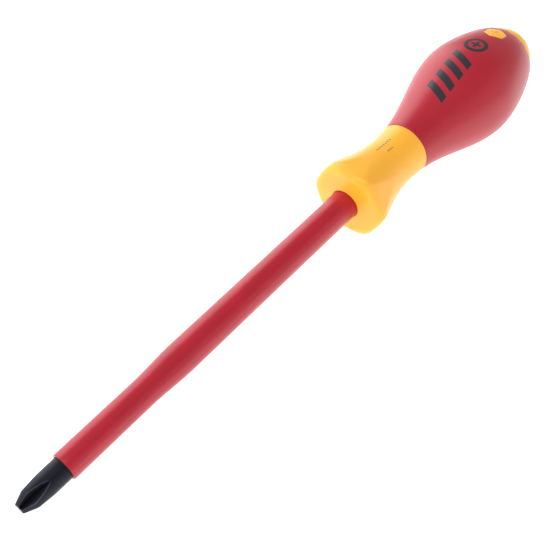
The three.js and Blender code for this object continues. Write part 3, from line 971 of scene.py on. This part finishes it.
def build_inlay(sizes, material):
    """A hexagonal plug whose top follows the bulb, with a sunken cross."""
    bulb = Bulb(sizes)
    reach, half = sizes.mark_span / 2, sizes.mark_arm / 2
    corner = atan2(half, reach)
    turns = {radians(3 * i) for i in range(120)}
    for quarter in range(4):
        turns |= {quarter * pi / 2 + a for a in (corner, pi / 4, pi / 2 - corner)}
    turns = sorted(turns)

    def ring(depth, share, inset, grown=0.0):
        """A ring between the cross, at share 0, and the hexagon, at share 1."""
        made = []
        for angle in turns:
            low = cross_reach(angle, reach, half) + grown
            high = hexagon_reach(angle, sizes.window_across, inset)
            distance = low + (high - low) * share
            made.append(bulb.at_window(distance * cos(angle), distance * sin(angle), depth))
        return made

    rounding = 0.3 * MM
    proud = 0.05 * MM
    floor = sizes.mark_depth
    rim = 0.08 * MM
    cross_wall = (  # depth, and how far outside the cross's own outline
        (floor, -0.12 * MM),
        (floor - 0.08 * MM, -0.02 * MM),
        (0.06 * MM - proud, 0.0),
        (-proud, rim),
    )
    rings = [[bulb.at_window(0, 0, floor)]]
    rings += [ring(depth, 0, 0, grown) for depth, grown in cross_wall]
    rings += [ring(-proud, i / 6, rounding + JOIN_GAP, rim) for i in range(1, 7)]
    for bend in (radians(degrees) for degrees in (22, 45, 68, 90)):
        inset = rounding * (1 - sin(bend)) + JOIN_GAP
        rings.append(ring(rounding * (1 - cos(bend)) - proud, 1, inset))
    depth = POCKET_DEPTH - 0.1 * MM
    rings += [ring(depth, 1, JOIN_GAP), [bulb.at_window(0, 0, depth)]]
    data = mesh_data(loft(rings), "hexagon_inlay")
    return finish(data, material, "symbol_inlay", radians(30))


# ---- Cap ----

DOME_FULLNESS = 2.4  # 2 is an elliptical dome
DOME_FLAT = 2.5 * MM  # radius that the dome has left at its end
DOME_INSET = 0.25 * MM  # from the rim of the plug in to the edge of the dome
DOME_SINK = 0.5 * MM  # how far inside the mouth the plug stops


def build_cap(sizes, material):
    """A stem, a plug and a dome whose edge is let into the mouth."""
    rise = CAP_END - MOUTH
    stem = sizes.stem_diameter / 2
    plug = MOUTH - sizes.plug_length
    edge = CAP_RADIUS - DOME_INSET
    shares = [i / 40 for i in range(37)]
    dome = [(MOUTH + rise * s, DOME_FLAT + (edge - DOME_FLAT) * (1 - s**DOME_FULLNESS)) for s in shares]
    last = Vector(dome[-1])
    lead = (last - Vector(dome[-2])).normalized()
    close = (last, last + lead * 1.3 * MM, Vector((CAP_END, last.y * 0.55)), Vector((CAP_END, 0)))
    bevel = 0.4 * MM
    outline = [
        (STEM_START, 0),
        (STEM_START, stem - bevel),
        (STEM_START + bevel, stem),
        (plug, stem),
        (plug, CAP_RADIUS),
        (MOUTH - DOME_SINK, CAP_RADIUS),
        *dome,
        *line(close, 12)[1:],
    ]
    data = mesh_data(loft(turned(outline)), "domed_cap")
    return finish(data, material, "end_cap")


# ---- Stage ----

TABLE_RADIUS = 4.0
PANELS = (  # brightness setting, place, width and height
    ("key_panel", (-0.8, 0.0, 1.4), 0.9, 0.9),
    ("rear_panel", (0.0, 0.95, 0.5), 2.0, 0.9),
    ("front_panel", (0.25, -0.95, 0.35), 1.8, 0.7),
)


def build_table(glow):
    """A round white table with light let through it from below."""
    material, tree = new_material("Card_matt_white")
    add(tree, "ShaderNodeOutputMaterial", {
        "Surface": add(tree, "ShaderNodeBsdfPrincipled", {
            "Base Color": (0.86, 0.86, 0.86, 1),
            "Roughness": 0.9,
            "Emission Color": (1, 1, 1, 1),
            "Emission Strength": glow,
        })
    })
    mesh = bmesh.new()
    bmesh.ops.create_circle(mesh, cap_ends=True, radius=TABLE_RADIUS, segments=96)
    data = bpy.data.meshes.new("white_table")
    mesh.to_mesh(data)
    mesh.free()
    shown(data, material, SHARP)


def build_panel(name, brightness, place, width, height):
    """A soft panel that faces the middle of the tool."""
    light = bpy.data.lights.new(name, "AREA")
    light.shape = "RECTANGLE"
    light.size = width
    light.size_y = height
    light.energy = brightness * width * height * pi
    panel = bpy.data.objects.new(name, light)
    panel.location = place
    panel.rotation_euler = (-Vector(place)).to_track_quat("-Z", "Y").to_euler()
    bpy.context.scene.collection.objects.link(panel)


def build_camera(settings):
    """The camera looks down on the tool from the side of its tip."""
    around, up = settings.azimuth, settings.elevation
    back = Vector((sin(around) * cos(up), -cos(around) * cos(up), sin(up)))
    turned_to = back.to_track_quat("Z", "Y")
    aside = AXIS.cross(back).normalized() * settings.aim_aside
    aim = LAY_DOWN @ Vector((settings.aim_place, 0, 0)) + aside
    lens = bpy.data.cameras.new("Camera")
    lens.lens = settings.lens
    lens.clip_start = 0.01
    camera = bpy.data.objects.new("Camera", lens)
    camera.location = aim + back * settings.distance
    camera.rotation_euler = (turned_to.to_matrix() @ Matrix.Rotation(settings.roll, 3, "Z")).to_euler()
    bpy.context.scene.collection.objects.link(camera)
    bpy.context.scene.camera = camera


def build_room(brightness):
    """An even white room all round."""
    world = bpy.data.worlds.new("White_room")
    world.use_nodes = True
    tree = world.node_tree
    tree.nodes.clear()
    room = add(tree, "ShaderNodeBackground", {"Color": (1, 1, 1, 1), "Strength": brightness})
    add(tree, "ShaderNodeOutputWorld", {"Surface": room})
    bpy.context.scene.world = world
    bpy.context.scene.view_settings.view_transform = "Standard"


# ---- Operators ----


class SCREWDRIVER_OT_blade(bpy.types.Operator):
    """Builds the round bar with its ground cross tip"""

    bl_idname = "screwdriver.blade"
    bl_label = "Blade"

    def execute(self, context):
        settings = context.scene.screwdriver
        build_bar(settings.blade, blackened_steel(settings.finishes))
        return {"FINISHED"}


class SCREWDRIVER_OT_sleeve(bpy.types.Operator):
    """Builds the insulating sleeve on the bar"""

    bl_idname = "screwdriver.sleeve"
    bl_label = "Sleeve"

    def execute(self, context):
        settings = context.scene.screwdriver
        build_sleeve(settings.sleeve, settings.blade, sleeve_insulation(settings.finishes))
        return {"FINISHED"}


class SCREWDRIVER_OT_guard(bpy.types.Operator):
    """Builds the flanged guard and its neck"""

    bl_idname = "screwdriver.guard"
    bl_label = "Guard and Neck"

    def execute(self, context):
        settings = context.scene.screwdriver
        build_guard(settings.handle, yellow_plastic(settings.finishes, marked=True))
        return {"FINISHED"}


class SCREWDRIVER_OT_grip(bpy.types.Operator):
    """Builds the soft bulb with its window"""

    bl_idname = "screwdriver.grip"
    bl_label = "Grip"

    def execute(self, context):
        settings = context.scene.screwdriver
        build_grip(settings.handle, soft_grip(settings.finishes))
        return {"FINISHED"}


class SCREWDRIVER_OT_hard_fittings(bpy.types.Operator):
    """Builds the inlay and the cap from the same yellow moulding, and finishes the hidden core"""

    bl_idname = "screwdriver.hard_fittings"
    bl_label = "Inlay, Cap and Core"

    def execute(self, context):
        settings = context.scene.screwdriver
        yellow = yellow_plastic(settings.finishes)
        build_inlay(settings.handle, yellow)
        build_cap(settings.handle, yellow)
        core = frame["nodes"]["handle_core"]
        core.data.materials.clear()
        core.data.materials.append(core_plastic(settings.finishes))
        return {"FINISHED"}


class SCREWDRIVER_OT_stage(bpy.types.Operator):
    """Sets up the table, the lights and the camera"""

    bl_idname = "screwdriver.stage"
    bl_label = "Stage"

    def execute(self, context):
        studio = context.scene.screwdriver.studio
        build_table(studio.table_glow)
        build_room(studio.surround)
        for setting, place, width, height in PANELS:
            build_panel(setting.capitalize(), getattr(studio, setting), place, width, height)
        build_camera(studio)
        return {"FINISHED"}


STEPS = (
    SCREWDRIVER_OT_blade,
    SCREWDRIVER_OT_sleeve,
    SCREWDRIVER_OT_guard,
    SCREWDRIVER_OT_grip,
    SCREWDRIVER_OT_hard_fittings,
    SCREWDRIVER_OT_stage,
)


class SCREWDRIVER_PT_build(bpy.types.Panel):
    """Lists the steps that build the screwdriver, and its settings"""

    bl_idname = "SCREWDRIVER_PT_build"
    bl_label = "Insulated Screwdriver"
    bl_space_type = "VIEW_3D"
    bl_region_type = "UI"
    bl_category = "Screwdriver"

    def draw(self, context):
        for step in STEPS:
            self.layout.operator(step.bl_idname)
        settings = context.scene.screwdriver
        for group in (settings.blade, settings.sleeve, settings.handle, settings.finishes, settings.studio):
            box = self.layout.box()
            for name in group.__annotations__:
                box.prop(group, name)


GROUPS = (BladeSizes, SleeveSizes, HandleSizes, Finishes, StudioSettings, ScrewdriverSettings)
CLASSES = GROUPS + STEPS + (SCREWDRIVER_PT_build,)


def register():
    for cls in CLASSES:
        bpy.utils.register_class(cls)
    bpy.types.Scene.screwdriver = PointerProperty(type=ScrewdriverSettings)


def unregister():
    del bpy.types.Scene.screwdriver
    for cls in reversed(CLASSES):
        bpy.utils.unregister_class(cls)


def main():
    register()
    bpy.ops.screwdriver.blade()
    bpy.ops.screwdriver.sleeve()
    bpy.ops.screwdriver.guard()
    bpy.ops.screwdriver.grip()
    bpy.ops.screwdriver.hard_fittings()
    bpy.ops.screwdriver.stage()


if __name__ == "__main__":
    main()
